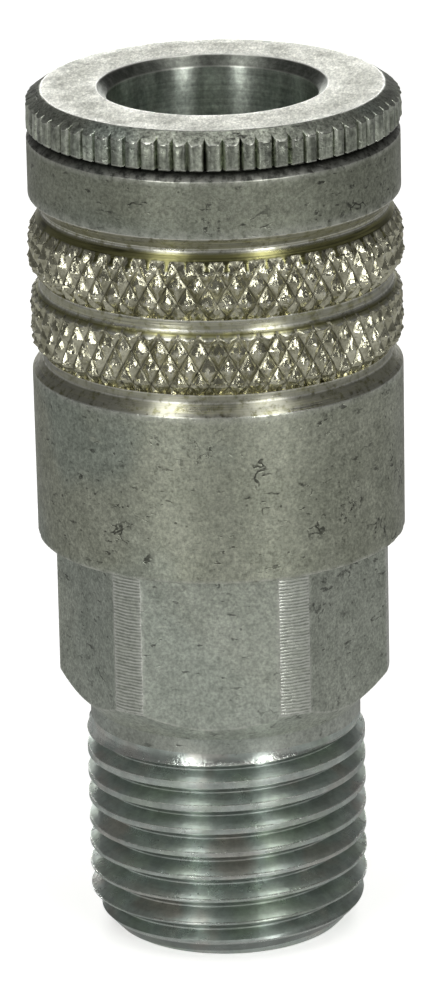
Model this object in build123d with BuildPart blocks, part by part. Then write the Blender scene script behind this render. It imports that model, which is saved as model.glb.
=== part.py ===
"""Quick disconnect coupler: ball-lock socket with a sliding knurled sleeve and a male pipe thread.

Millimetres. The axis of the coupler is Z. The threaded end face lies on z = 0 and the plug enters from the top.
Heights are measured upward from the threaded end face, and radii from the axis.
"""

from build123d import *
import math
import os

os.makedirs("parts", exist_ok=True)

# ---------------------------------------------------------------- driving dimensions

overall_height = 64.25
plug_bore_radius = 7.65
sleeve_travel = 4.0
edge_break = 0.1
running_gap = 0.02
cut_clearance = 1.0

# adapter: tapered pipe thread, neck and hexagon
thread_pitch = 25.4 / 14
thread_blank_radius = 10.32
thread_root_radius_at_end = 8.87
thread_taper = 1 / 32
thread_flank_angle = 30
thread_root_flat = 0.07
thread_groove_height = 0.88
thread_turns_below_end = 1
thread_turns = 9
thread_last_part_turn = 0.25
thread_cutter_share = 0.98
thread_run_out_length = 5.0
thread_top = 15.5
end_face_radius = 8.45
end_chamfer_radius = 10.0
end_chamfer_height = 1.75
end_round_height = 2.9
air_bore_radius = 6.2
air_bore_chamfer = 0.5
neck_radius = 10.0
neck_bottom = 15.85
neck_top = 17.55
hex_across_flats = 22.225
hex_corner_radius = 12.15
hex_full_height = 19.7
adapter_top = 33.5

# inside of the adapter
guide_seat = 20.0
chamber_radius = 7.9
socket_radius = 9.5
socket_floor = 25.5

# barrel: the tube that holds the balls, valve and seal
barrel_bottom = 27.0
barrel_radius = 10.3
barrel_flange_radius = 10.5
barrel_flange_top = 35.0
barrel_top = 61.5
nose_web_bottom = 48.0
nose_web_top = 49.9
nose_radius = 5.75
nose_cone_top = 51.7
ball_zone_radius = 7.85
spigot_seat = 58.7
spigot_radius = 8.95

# locking balls
ball_count = 8
ball_radius = 3.969 / 2
ball_centre_radius = 8.585
ball_height = 55.6
ball_hole_radius = 2.04
ball_cone_outer = 8.3
ball_cone_inner = 7.5
ball_hole_inner_radius = 1.83

# knurled nose ring
ring_bottom = 61.5
ring_radius = 13.64
ring_face_radius = 12.46
ring_chamfer_bottom = 63.42
ring_lower_chamfer = 0.22
ring_bore_chamfer_radius = 8.33
ring_bore_chamfer_depth = 0.65
ring_rim_round = 0.12
ring_teeth = 69
ring_tooth_depth = 0.32

# sleeve outside, from its bottom edge up
sleeve_bottom = 30.75
sleeve_skirt_radius = 13.48
sleeve_skirt_top_radius = 13.54
sleeve_skirt_top = 43.3
lower_groove = (12.75, 44.15, 44.75)
lower_band = (13.67, 45.8, 48.75)
middle_groove = (12.85, 49.6, 50.35)
upper_band = (13.75, 51.45, 53.6)
upper_groove = (12.65, 55.4, 55.6)
collar_bottom = 56.55
collar_radius = 13.53
collar_top = 60.75
collar_chamfer_radius = 13.0
sleeve_top = 61.3
band_shoulder_drop = 0.22
band_shoulder_height = 0.33

# sleeve inside
sleeve_guide_radius = 12.3
sleeve_stop_gap = 0.05
spring_room_radius = 12.0
spring_shoulder = 50.4
land_radius = 10.4
ramp_rise = 0.2875
ramp_radius_at_balls = 10.7
ramp_top = 59.6
release_radius = 11.9

# springs
sleeve_spring_radius = 11.3
sleeve_spring_wire = 1.1
sleeve_spring_turns = 6.5
valve_spring_radius = 4.3
valve_spring_wire = 0.9
valve_spring_turns = 6.5

# valve, seat and seals
seat_bottom = 41.0
seat_top = 44.5
seat_countersink = 0.5
seal_washer_top = 45.3
seal_washer_radius = 5.9
plug_seal_lip_radius = 5.35
plug_seal_body_radius = 6.4
plug_seal_lip_bottom = 46.3
plug_seal_lip_top = 46.9
poppet_radius = 6.9
poppet_bottom = 38.6
poppet_step = 40.2
poppet_boss_radius = 5.4
crown_outer_radius = 5.2
crown_inner_radius = 3.6
crown_top = 46.4
crown_slot_width = 2.2
crown_slot_floor = 41.6
crown_slot_top = 45.4
crown_slots = 4
spring_boss_radius = 3.6
spring_boss_bottom = 37.6
stem_radius = 1.6
stem_bottom = 22.6
stem_chamfer = 0.4
guide_plate_top = 22.0
guide_hub_top = 25.0
guide_hub_radius = 3.0
guide_hole_radius = 1.66
guide_arm_width = 2.0
guide_arms = 4
body_seal_section = 0.75
body_seal_radius = 8.7


# ---------------------------------------------------------------- adapter

# the cutter stops just short of its neighbouring turn
cutter_half_width = thread_cutter_share * thread_pitch / 2
cutter_depth = (cutter_half_width - thread_root_flat / 2) / math.tan(math.radians(thread_flank_angle))
groove_section = [
    (0, -thread_root_flat / 2),
    (cutter_depth, -cutter_half_width),
    (cutter_depth, cutter_half_width),
    (0, thread_root_flat / 2),
]


def thread_groove(turn, turns):
    """A stretch of the tapered groove that starts on +X, a whole number of turns from the lowest one."""
    height = thread_groove_height + (turn - thread_turns_below_end) * thread_pitch
    with BuildPart() as groove_cutter:
        with BuildLine() as path:
            Helix(
                pitch=thread_pitch,
                height=turns * thread_pitch,
                radius=thread_root_radius_at_end + height * thread_taper,
                center=(0, 0, height),
                cone_angle=math.degrees(math.atan(thread_taper)),
            )
        with BuildSketch(Plane(path.line @ 0, x_dir=(1, 0, 0), z_dir=path.line % 0)):
            Polygon(*groove_section, align=None)
        sweep(path=path.line, is_frenet=True)
    return groove_cutter, path


groove_cutters = []
for turn in range(thread_turns):
    groove_cutter, groove_path = thread_groove(turn, 1)
    groove_cutters.append(groove_cutter)

# the groove runs out at a tangent, part of a turn further round
groove_cutter, groove_path = thread_groove(thread_turns, thread_last_part_turn)
groove_cutters.append(groove_cutter)
with BuildPart() as thread_run_out:
    with BuildSketch(Plane(groove_path.line @ 1, x_dir=(0, 1, 0), z_dir=groove_path.line % 1)):
        Polygon(*groove_section, align=None)
    extrude(amount=thread_run_out_length)
groove_cutters.append(thread_run_out)

with BuildPart() as adapter:
    with BuildSketch(Plane.XZ):
        with BuildLine():
            Polyline(
                (air_bore_radius + air_bore_chamfer, 0),
                (end_face_radius, 0),
                (end_chamfer_radius, end_chamfer_height),
                (thread_blank_radius, end_round_height),
                (thread_blank_radius, thread_top),
                (neck_radius, neck_bottom),
                (neck_radius, neck_top),
                (hex_corner_radius, hex_full_height),
                (hex_corner_radius, adapter_top),
                (socket_radius, adapter_top),
                (socket_radius, socket_floor),
                (chamber_radius, socket_floor),
                (chamber_radius, guide_seat),
                (air_bore_radius, guide_seat),
                (air_bore_radius, air_bore_chamfer),
                close=True,
            )
        make_face()
    revolve(axis=Axis.Z)
    with BuildSketch(Plane.XY.offset(neck_top)):
        Circle(hex_corner_radius + cut_clearance)
        RegularPolygon(hex_across_flats / 2, 6, major_radius=False, mode=Mode.SUBTRACT)
    extrude(amount=adapter_top - neck_top, mode=Mode.SUBTRACT)
    for groove_cutter in groove_cutters:
        add(groove_cutter.part, mode=Mode.SUBTRACT, clean=False)

# ---------------------------------------------------------------- barrel

# one ball hole along +X: a straight hole from outside, narrowing so that the ball can't fall through
with BuildPart() as ball_pocket:
    with BuildSketch(Plane.XZ):
        with BuildLine():
            Polyline(
                (ball_cone_inner - cut_clearance, ball_height),
                (ball_cone_inner - cut_clearance, ball_height + ball_hole_inner_radius),
                (ball_cone_inner, ball_height + ball_hole_inner_radius),
                (ball_cone_outer, ball_height + ball_hole_radius),
                (barrel_radius + cut_clearance, ball_height + ball_hole_radius),
                (barrel_radius + cut_clearance, ball_height),
                close=True,
            )
        make_face()
    revolve(axis=Axis((0, 0, ball_height), (1, 0, 0)))

with BuildPart() as barrel:
    with BuildSketch(Plane.XZ):
        with BuildLine():
            Polyline(
                (chamber_radius, barrel_bottom),
                (socket_radius, barrel_bottom),
                (socket_radius, adapter_top),
                (barrel_flange_radius, adapter_top),
                (barrel_flange_radius, barrel_flange_top),
                (barrel_radius, barrel_flange_top),
                (barrel_radius, barrel_top),
                (spigot_radius, barrel_top),
                (spigot_radius, spigot_seat),
                (ball_zone_radius, spigot_seat),
                (ball_zone_radius, nose_cone_top),
                (nose_radius, nose_web_top),
                (nose_radius, nose_web_bottom),
                (chamber_radius, nose_web_bottom),
                close=True,
            )
        make_face()
    revolve(axis=Axis.Z)
    with PolarLocations(0, ball_count):
        add(ball_pocket.part, mode=Mode.SUBTRACT)

# ---------------------------------------------------------------- nose ring

tooth_angle = 360 / ring_teeth
valley_radius = ring_radius - ring_tooth_depth


def on_circle(radius, degrees):
    return radius * math.cos(math.radians(degrees)), radius * math.sin(math.radians(degrees))


with BuildPart() as nose_ring:
    with BuildSketch(Plane.XY.offset(ring_bottom)):
        with BuildLine():
            for tooth in range(ring_teeth):
                start = tooth * tooth_angle
                ThreePointArc(
                    on_circle(valley_radius, start),
                    on_circle(ring_radius, start + tooth_angle / 2),
                    on_circle(valley_radius, start + tooth_angle),
                )
        make_face()
    extrude(amount=overall_height - ring_bottom)
    with BuildSketch(Plane.XZ):
        with BuildLine():
            Polyline(
                (plug_bore_radius, ring_bottom),
                (ring_radius - ring_lower_chamfer, ring_bottom),
                (ring_radius, ring_bottom + ring_lower_chamfer),
                (ring_radius, ring_chamfer_bottom),
                (ring_face_radius, overall_height),
                (ring_bore_chamfer_radius + ring_rim_round, overall_height),
                (ring_bore_chamfer_radius, overall_height - ring_rim_round),
                (plug_bore_radius, overall_height - ring_rim_round - ring_bore_chamfer_depth),
                close=True,
            )
        make_face()
    revolve(axis=Axis.Z, mode=Mode.INTERSECT)
    with BuildSketch(Plane.XY.offset(spigot_seat)):
        Circle(spigot_radius)
        Circle(plug_bore_radius, mode=Mode.SUBTRACT)
    extrude(amount=ring_bottom - spigot_seat)

# ---------------------------------------------------------------- sleeve

ramp_bottom_radius = land_radius
ramp_bottom = ball_height - (ramp_radius_at_balls - ramp_bottom_radius) / ramp_rise
ramp_top_radius = ramp_radius_at_balls + (ramp_top - ball_height) * ramp_rise
stop_height = adapter_top + sleeve_travel + sleeve_stop_gap


def groove(radius, bottom, top):
    """The two corners of a groove's floor."""
    return [(radius, bottom), (radius, top)]


def band(radius, bottom, top):
    """A grip band's bottom corner, top corner and the rounded shoulder above it."""
    return [
        (radius, bottom),
        (radius, top),
        (radius - band_shoulder_drop, top + band_shoulder_height),
    ]


with BuildPart() as sleeve:
    with BuildSketch(Plane.XZ):
        with BuildLine():
            Polyline(
                (sleeve_guide_radius, sleeve_bottom),
                (sleeve_skirt_radius - edge_break, sleeve_bottom),
                (sleeve_skirt_radius, sleeve_bottom + edge_break),
                (sleeve_skirt_top_radius, sleeve_skirt_top),
                *groove(*lower_groove),
                *band(*lower_band),
                *groove(*middle_groove),
                *band(*upper_band),
                *groove(*upper_groove),
                (collar_radius, collar_bottom),
                (collar_radius, collar_top),
                (collar_chamfer_radius, sleeve_top),
                (release_radius, sleeve_top),
                (release_radius, ramp_top),
                (ramp_top_radius, ramp_top),
                (ramp_bottom_radius, ramp_bottom),
                (land_radius, spring_shoulder),
                (spring_room_radius, spring_shoulder),
                (spring_room_radius, stop_height),
                (sleeve_guide_radius, stop_height),
                close=True,
            )
        make_face()
    revolve(axis=Axis.Z)

# ---------------------------------------------------------------- locking balls

balls = []
for number in range(ball_count):
    x, y = on_circle(ball_centre_radius, number * 360 / ball_count)
    with BuildPart() as ball:
        with Locations((x, y, ball_height)):
            Sphere(ball_radius)
    balls.append(ball)

# ---------------------------------------------------------------- springs


def coil_spring(radius, wire, turns, bottom, top):
    """A round-wire spring whose two ends are ground flat at bottom and top."""
    with BuildPart() as spring:
        with BuildLine() as coil:
            Helix(
                pitch=(top - bottom) / turns,
                height=top - bottom,
                radius=radius,
                center=(0, 0, bottom),
            )
        with BuildSketch(Plane(coil.line @ 0, x_dir=(1, 0, 0), z_dir=coil.line % 0)):
            Circle(wire / 2)
        sweep(path=coil.line, is_frenet=True)
        with BuildSketch(Plane.XY.offset(bottom)):
            Circle(radius + wire)
        extrude(amount=top - bottom, mode=Mode.INTERSECT)
    return spring


sleeve_spring = coil_spring(
    sleeve_spring_radius, sleeve_spring_wire, sleeve_spring_turns, adapter_top, spring_shoulder
)
valve_spring = coil_spring(
    valve_spring_radius, valve_spring_wire, valve_spring_turns, guide_plate_top, poppet_bottom
)

# ---------------------------------------------------------------- valve

with BuildPart() as valve:
    with BuildSketch(Plane.XZ):
        with BuildLine():
            Polyline(
                (0, stem_bottom),
                (stem_radius - stem_chamfer, stem_bottom),
                (stem_radius, stem_bottom + stem_chamfer),
                (stem_radius, spring_boss_bottom),
                (spring_boss_radius, spring_boss_bottom),
                (spring_boss_radius, poppet_bottom),
                (poppet_radius, poppet_bottom),
                (poppet_radius, poppet_step),
                (poppet_boss_radius, poppet_step),
                (poppet_boss_radius, seat_bottom - running_gap),
                (crown_outer_radius, seat_bottom + edge_break),
                (crown_outer_radius, crown_top),
                (crown_inner_radius, crown_top),
                (crown_inner_radius, crown_slot_floor),
                (0, crown_slot_floor),
                close=True,
            )
        make_face()
    revolve(axis=Axis.Z)
    with BuildSketch(Plane.XY.offset(crown_slot_floor)):
        with PolarLocations(0, crown_slots // 2, angular_range=180):
            Rectangle(2 * poppet_radius, crown_slot_width)
    extrude(amount=crown_slot_top - crown_slot_floor, mode=Mode.SUBTRACT)

with BuildPart() as valve_seal:
    with BuildSketch(Plane.XY.offset(poppet_step)):
        Circle(poppet_radius)
        Circle(poppet_boss_radius, mode=Mode.SUBTRACT)
    extrude(amount=seat_bottom - running_gap - poppet_step)

with BuildPart() as valve_seat:
    with BuildSketch(Plane.XZ):
        with BuildLine():
            Polyline(
                (nose_radius, seat_bottom),
                (chamber_radius, seat_bottom),
                (chamber_radius, seat_top),
                (nose_radius + seat_countersink, seat_top),
                (nose_radius, seat_top - seat_countersink),
                close=True,
            )
        make_face()
    revolve(axis=Axis.Z)

# a round plate with a hub for the stem, and arms between four air windows
with BuildPart() as valve_guide:
    with BuildSketch(Plane.XY.offset(guide_seat)):
        Circle(chamber_radius)
    extrude(amount=guide_plate_top - guide_seat)
    with BuildSketch(Plane.XY.offset(guide_seat)):
        Circle(air_bore_radius)
        with PolarLocations(0, guide_arms // 2, angular_range=180):
            Rectangle(2 * chamber_radius, guide_arm_width, mode=Mode.SUBTRACT)
    extrude(amount=guide_plate_top - guide_seat, mode=Mode.SUBTRACT)
    with BuildSketch(Plane.XY.offset(guide_seat)):
        Circle(guide_hub_radius)
    extrude(amount=guide_hub_top - guide_seat)
    with BuildSketch(Plane.XY.offset(guide_seat)):
        Circle(guide_hole_radius)
    extrude(amount=guide_hub_top - guide_seat, mode=Mode.SUBTRACT)

# ---------------------------------------------------------------- seals

# a lip seal for the plug's nose, its lip pointing inward and the hollow under it facing the air
with BuildPart() as plug_seal:
    with BuildSketch(Plane.XZ):
        with BuildLine():
            Polyline(
                (plug_seal_body_radius, seal_washer_top),
                (chamber_radius, seal_washer_top),
                (chamber_radius, nose_web_bottom),
                (nose_radius, nose_web_bottom),
                (plug_seal_lip_radius, plug_seal_lip_top),
                (plug_seal_lip_radius, plug_seal_lip_bottom),
                (plug_seal_body_radius, plug_seal_lip_top),
                close=True,
            )
        make_face()
    revolve(axis=Axis.Z)

with BuildPart() as seal_washer:
    with BuildSketch(Plane.XY.offset(seat_top)):
        Circle(chamber_radius)
        Circle(seal_washer_radius, mode=Mode.SUBTRACT)
    extrude(amount=seal_washer_top - seat_top)

with BuildPart() as body_seal:
    with BuildSketch(Plane.XZ):
        with Locations((body_seal_radius, (socket_floor + barrel_bottom) / 2)):
            Circle(body_seal_section)
    revolve(axis=Axis.Z)

# ---------------------------------------------------------------- write one file per sub-part

pieces = {
    "adapter": adapter,
    "barrel": barrel,
    "nose_ring": nose_ring,
    "sleeve": sleeve,
    "sleeve_spring": sleeve_spring,
    "valve": valve,
    "valve_seal": valve_seal,
    "valve_spring": valve_spring,
    "valve_guide": valve_guide,
    "valve_seat": valve_seat,
    "plug_seal": plug_seal,
    "seal_washer": seal_washer,
    "body_seal": body_seal,
}
for number, ball in enumerate(balls, start=1):
    pieces[f"ball_{number}"] = ball

for name, piece in pieces.items():
    piece.part.label = name
    export_step(piece.part, f"parts/{name}.step")
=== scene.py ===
import math

import bpy
import numpy as np
from mathutils import Matrix, Vector


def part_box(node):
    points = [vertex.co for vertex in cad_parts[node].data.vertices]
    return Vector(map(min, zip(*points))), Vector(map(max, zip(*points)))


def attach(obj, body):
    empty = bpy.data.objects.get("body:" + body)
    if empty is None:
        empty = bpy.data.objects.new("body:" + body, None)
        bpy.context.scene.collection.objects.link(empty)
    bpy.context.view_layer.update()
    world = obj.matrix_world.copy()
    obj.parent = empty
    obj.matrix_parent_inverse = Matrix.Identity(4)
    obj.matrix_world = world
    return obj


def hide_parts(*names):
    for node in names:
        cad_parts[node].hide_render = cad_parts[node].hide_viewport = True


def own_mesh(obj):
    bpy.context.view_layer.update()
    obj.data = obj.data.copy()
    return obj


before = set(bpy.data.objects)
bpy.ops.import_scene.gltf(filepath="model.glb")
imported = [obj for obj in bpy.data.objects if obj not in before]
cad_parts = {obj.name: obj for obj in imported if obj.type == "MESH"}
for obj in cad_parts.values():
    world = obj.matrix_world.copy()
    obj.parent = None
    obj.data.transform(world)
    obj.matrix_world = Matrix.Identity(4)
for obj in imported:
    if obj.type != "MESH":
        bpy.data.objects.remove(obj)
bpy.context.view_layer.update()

MM = 0.001
FULL_TURN = 2 * math.pi


def heights(node):
    """The lowest and highest point of a CAD node, in millimetres."""
    low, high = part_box(node)
    return low[2] / MM, high[2] / MM


ring_seat, ring_top = heights("nose_ring")
sleeve_bottom, sleeve_top = heights("sleeve")
adapter_top = heights("adapter")[1]

# ---------------------------------------------------------------- camera, its lengths in millimetres

camera_turn = math.radians(5.14)
camera_distance = 488.3
camera_height = 198.23
camera_aim_height = 32.58
camera_roll = math.radians(1.25)
to_camera = Vector((math.sin(camera_turn), -math.cos(camera_turn), 0))
to_right = Vector((math.cos(camera_turn), math.sin(camera_turn), 0))

camera_data = bpy.data.cameras.new("camera")
camera_data.sensor_width = 36
camera_data.lens = 252.6
camera_data.clip_start = 0.05
camera_data.clip_end = 20
camera_data.dof.use_dof = False
camera_data.shift_x = -0.0022
camera = bpy.data.objects.new("camera", camera_data)
bpy.context.scene.collection.objects.link(camera)
camera_place = (to_camera * camera_distance + Vector((0, 0, camera_height))) * MM
line_of_sight = Vector((0, 0, camera_aim_height)) * MM - camera_place
level_camera = line_of_sight.to_track_quat("-Z", "Y").to_matrix()
rolled_camera = level_camera @ Matrix.Rotation(-camera_roll, 3, "Z")
camera.matrix_world = Matrix.Translation(camera_place) @ rolled_camera.to_4x4()
bpy.context.scene.camera = camera
bpy.context.scene.view_settings.view_transform = "Standard"


# ---------------------------------------------------------------- node helpers


class Nodes:
    """A short way to write a material's or the world's node tree."""

    def __init__(self, tree):
        self.tree = tree
        tree.nodes.clear()

    def add(self, kind, inputs=(), **settings):
        node = self.tree.nodes.new(kind)
        for name, value in settings.items():
            setattr(node, name, value)
        for name, value in dict(inputs).items():
            socket = node.inputs[name]
            if isinstance(value, bpy.types.NodeSocket):
                self.tree.links.new(value, socket)
            else:
                socket.default_value = value
        return node

    def place(self, stretch=(1, 1, 1)):
        """The point on the object in metres, stretched along its axes."""
        point = self.add("ShaderNodeTexCoord").outputs["Object"]
        return self.add("ShaderNodeMapping", {"Vector": point, "Scale": stretch}).outputs[0]

    def noise(self, scale, detail=2.0, roughness=0.5, stretch=(1, 1, 1), shift=0.0):
        """Smooth noise; each shift gives another pattern."""
        inputs = {"Vector": self.place(stretch), "Scale": scale, "Detail": detail}
        inputs.update({"Roughness": roughness, "W": shift})
        return self.add("ShaderNodeTexNoise", inputs, noise_dimensions="4D").outputs["Fac"]

    def cells(self, scale, stretch=(1, 1, 1), shift=0.0):
        """The distance from the middle of the nearest of many scattered cells."""
        inputs = {"Vector": self.place(stretch), "Scale": scale, "W": shift}
        return self.add("ShaderNodeTexVoronoi", inputs, voronoi_dimensions="4D").outputs["Distance"]

    def cracks(self, scale, wander, stretch=(1, 1, 1)):
        """The distance from the nearest of a net of crooked lines."""
        place = self.place(stretch)
        inputs = {"Vector": place, "Scale": 2 * scale, "Detail": 3.0}
        bend = self.add("ShaderNodeTexNoise", inputs).outputs["Color"]
        bend = self.shade(bend, wander)
        place = self.add("ShaderNodeVectorMath", {0: place, 1: bend}, operation="ADD").outputs[0]
        inputs = {"Vector": place, "Scale": scale}
        return self.add("ShaderNodeTexVoronoi", inputs, feature="DISTANCE_TO_EDGE").outputs["Distance"]

    def shade(self, colour, factor):
        """A colour or vector made larger or smaller by a factor."""
        return self.add("ShaderNodeVectorMath", {0: colour, "Scale": factor}, operation="SCALE").outputs[0]

    def span(self, value, low, high, start=0.0, end=1.0):
        """Maps low..high smoothly on start..end."""
        inputs = {"Value": value, "From Min": low, "From Max": high, "To Min": start, "To Max": end}
        return self.add("ShaderNodeMapRange", inputs, interpolation_type="SMOOTHSTEP").outputs[0]

    def scattered(self, field, edge, patch, patch_edge):
        """Marks where a field crosses its edge, kept only where a slower field crosses another edge."""
        return self.product(self.span(field, *edge), self.span(patch, *patch_edge))

    def maths(self, operation, *values):
        """One number from two or more, taken in turn from the left."""
        total = values[0]
        for value in values[1:]:
            total = self.add("ShaderNodeMath", {0: total, 1: value}, operation=operation).outputs[0]
        return total

    def product(self, *values):
        return self.maths("MULTIPLY", *values)

    def sum(self, *values):
        return self.maths("ADD", *values)

    def most(self, *values):
        return self.maths("MAXIMUM", *values)

    def mix(self, factor, first, second):
        """A blend of two colours; a mix node takes them at its inputs 6 and 7."""
        inputs = {0: factor, 6: opaque(first), 7: opaque(second)}
        return self.add("ShaderNodeMix", inputs, data_type="RGBA").outputs[2]

    def wear(self):
        """The wear stored on the vertices: 1 on a rubbed edge, and below 0 for painted shade in the thread's
        roots; on the nose ring's teeth it also carries painted glints.
        """
        return self.add("ShaderNodeAttribute", attribute_name="wear").outputs["Fac"]

    def bump(self, height, strength, distance, normal=None):
        inputs = {"Height": height, "Strength": strength, "Distance": distance}
        if normal is not None:
            inputs["Normal"] = normal
        return self.add("ShaderNodeBump", inputs).outputs[0]

    def metal(self, colour, roughness, normal, anisotropy=0.0):
        """The metal shader, whose quarter-turned anisotropy draws highlights out along the axis."""
        inputs = {"Base Color": colour, "Roughness": roughness, "Normal": normal, "Metallic": 1.0}
        inputs.update({"Anisotropic": anisotropy, "Anisotropic Rotation": 0.25})
        shader = self.add("ShaderNodeBsdfPrincipled", inputs)
        self.add("ShaderNodeOutputMaterial", {"Surface": shader.outputs[0]})
        return shader


def opaque(colour):
    """A plain colour with its fourth channel; a socket stays as it is."""
    return (*colour, 1.0) if isinstance(colour, tuple) and len(colour) == 3 else colour


def tinted(colour, factor):
    """A plain colour times a factor."""
    return tuple(factor * channel for channel in colour)


def new_material(name):
    material = bpy.data.materials.new(name)
    material.use_nodes = True
    return material, Nodes(material.node_tree)


# ---------------------------------------------------------------- materials, their bump depths in metres

COOL_ZINC = (0.36, 0.43, 0.4)
GRIME_COLOUR = (0.05, 0.052, 0.044)
SCAR_COLOUR = (0.028, 0.028, 0.024)


def zinc_skin(
    name, light, dark, roughness,
    grain=0.3, dirt=0.6, scars=1.0, dimple=0.3, cool=0.4, drag=0.0, anisotropy=0.5,
):
    """Matte zinc plating: blotches, grain, dirt, pits, crooked dark scars and short pale ticks."""
    material, n = new_material(name)
    blotch = n.noise(380, 5, 0.66)
    cloud = n.noise(110, 3, 0.55, shift=3.0)
    mottle = n.noise(1500, 4, 0.7, shift=9.0)
    fine = n.noise(4300, 3, 0.75, shift=1.0)
    tone = n.sum(n.span(blotch, 0.3, 0.7, 0.0, 0.55), n.span(cloud, 0.35, 0.65, 0.0, 0.45))
    colour = n.mix(tone, dark, light)
    colour = n.mix(n.span(n.noise(75, shift=21.0), 0.5, 0.62, 0.0, cool), colour, COOL_ZINC)
    colour = n.shade(colour, n.span(mottle, 0.28, 0.72, 1 - 0.6 * grain, 1 + 0.6 * grain))
    colour = n.shade(colour, n.span(fine, 0.28, 0.72, 1 - grain, 1 + grain))
    dragged = n.noise(1700, 2, 0.6, stretch=(1, 1, 0.12), shift=29.0)
    colour = n.shade(colour, n.span(dragged, 0.36, 0.64, 1 - drag, 1 + drag))

    ticks = n.scattered(
        n.noise(760, stretch=(0.4, 0.4, 3.0), shift=5.0), (0.68, 0.74), n.noise(170, shift=15.0), (0.48, 0.6)
    )
    colour = n.mix(n.product(ticks, 0.4), colour, tinted(light, 1.6))
    grime = n.scattered(n.noise(900, 4, 0.72, shift=7.0), (0.56, 0.7), n.noise(150, shift=11.0), (0.5, 0.62))
    colour = n.mix(n.product(grime, dirt), colour, GRIME_COLOUR)

    pits = n.scattered(n.cells(640, shift=2.0), (0.15, 0.07), n.noise(420, shift=17.0), (0.5, 0.58))
    specks = n.scattered(
        n.cells(1500, shift=6.0), (0.2, 0.11), n.noise(260, 3, 0.6, shift=23.0), (0.42, 0.56)
    )
    dashes = n.scattered(
        n.noise(1500, 3, 0.6, stretch=(0.6, 0.6, 1.6), shift=33.0), (0.6, 0.67),
        n.noise(230, 3, 0.6, shift=31.0), (0.42, 0.58),
    )
    crusts = n.scattered(
        n.noise(1500, 4, 0.7, shift=25.0), (0.53, 0.6), n.noise(190, 3, 0.65, shift=27.0), (0.6, 0.66)
    )
    scar_patches = n.scattered(n.noise(150, shift=13.0), (0.56, 0.62), n.noise(700, shift=19.0), (0.5, 0.58))
    crooked = n.product(n.span(n.cracks(400, 0.0019, (1, 1, 1.3)), 0.05, 0.012), scar_patches)
    marks = n.most(pits, n.product(specks, 0.8), crooked, dashes, crusts)
    colour = n.mix(n.product(marks, 0.75 * scars), colour, SCAR_COLOUR)

    worn = n.product(n.wear(), n.span(mottle, 0.35, 0.6, 0.15, 1.0))
    colour = n.mix(n.product(worn, 0.8), colour, (0.86, 0.87, 0.8))
    rough = n.sum(
        n.span(blotch, 0.3, 0.7, roughness + 0.06, roughness - 0.06),
        n.span(fine, 0.3, 0.7, 0.05, -0.05),
        n.product(worn, -0.15),
    )
    normal = n.bump(fine, dimple, 0.00003)
    normal = n.bump(mottle, dimple, 0.00006, normal)
    normal = n.bump(n.product(marks, -1.0), 0.6, 0.00005, normal)
    normal = n.bump(ticks, 0.2, 0.00003, normal)
    n.metal(colour, rough, normal, anisotropy)
    return material


def turned(name, light, dark, roughness, depth=0.00003, anisotropy=0.55, stains=0.5, streaks=0.0):
    """Turned metal: rings of many heights round the axis, cloudy stains and small nicks."""
    material, n = new_material(name)
    lines = 3400
    fine_rings = n.noise(1, 2, 0.6, stretch=(45, 45, 3 * lines))
    rings = n.noise(1, 3, 0.6, stretch=(40, 40, lines), shift=4.0)
    drift = n.noise(1, stretch=(160, 160, lines / 2), shift=8.0)
    cloud = n.noise(300, 4, 0.65, shift=2.0)
    nick = n.noise(1900, 3, 0.65, shift=9.0)
    tone = n.sum(n.span(rings, 0.3, 0.7, 0.0, 0.55), n.span(cloud, 0.3, 0.7, 0.0, 0.45))
    colour = n.mix(tone, dark, light)
    stain = n.product(n.span(drift, 0.5, 0.66), n.span(cloud, 0.35, 0.6, 0.4, 1.0))
    colour = n.mix(n.product(stain, stains), colour, tinted(dark, 0.25))
    colour = n.mix(n.span(nick, 0.66, 0.74, 0.0, 0.7), colour, tinted(dark, 0.2))
    coarse = n.product(n.span(rings, 0.49, 0.58), n.span(cloud, 0.35, 0.6, 0.35, 1.0))
    streak = n.most(coarse, n.span(fine_rings, 0.52, 0.64, 0.0, 0.6))
    colour = n.mix(n.product(streak, streaks), colour, tinted(dark, 0.3))
    colour = n.mix(n.product(n.wear(), n.span(nick, 0.3, 0.55, 0.2, 0.9)), colour, (0.92, 0.92, 0.84))
    rough = n.sum(
        n.span(drift, 0.3, 0.7, roughness - 0.05, roughness + 0.08), n.span(cloud, 0.3, 0.7, 0.04, -0.03)
    )
    normal = n.bump(fine_rings, 0.5, 0.3 * depth)
    normal = n.bump(rings, 0.7, depth, normal)
    normal = n.bump(nick, 0.25, 0.00002, normal)
    n.metal(colour, rough, normal, anisotropy)
    return material


def honed(name, light, dark, roughness):
    """The wall of the bore: fine grain drawn out along the axis, a few rings and dark specks."""
    material, n = new_material(name)
    drawn = n.noise(1500, 3, 0.65, stretch=(1, 1, 0.3))
    grain = n.noise(3200, 3, 0.7, shift=2.0)
    rings = n.noise(1, 2, 0.6, stretch=(90, 90, 3600), shift=5.0)
    cloud = n.noise(260, 3, 0.6, shift=7.0)
    tone = n.sum(n.span(drawn, 0.3, 0.7, 0.0, 0.6), n.span(cloud, 0.35, 0.65, 0.0, 0.4))
    colour = n.mix(tone, dark, light)
    colour = n.shade(colour, n.span(rings, 0.3, 0.7, 0.82, 1.18))
    colour = n.shade(colour, n.span(grain, 0.3, 0.7, 0.75, 1.25))
    colour = n.mix(n.span(grain, 0.66, 0.74, 0.0, 0.6), colour, (0.06, 0.065, 0.06))
    colour = n.mix(n.product(n.wear(), 0.8), colour, (0.9, 0.9, 0.84))
    rough = n.span(cloud, 0.3, 0.7, roughness - 0.04, roughness + 0.04)
    normal = n.bump(grain, 0.4, 0.00003)
    normal = n.bump(rings, 0.4, 0.00001, normal)
    n.metal(colour, rough, normal, 0.88)
    return material


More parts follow.
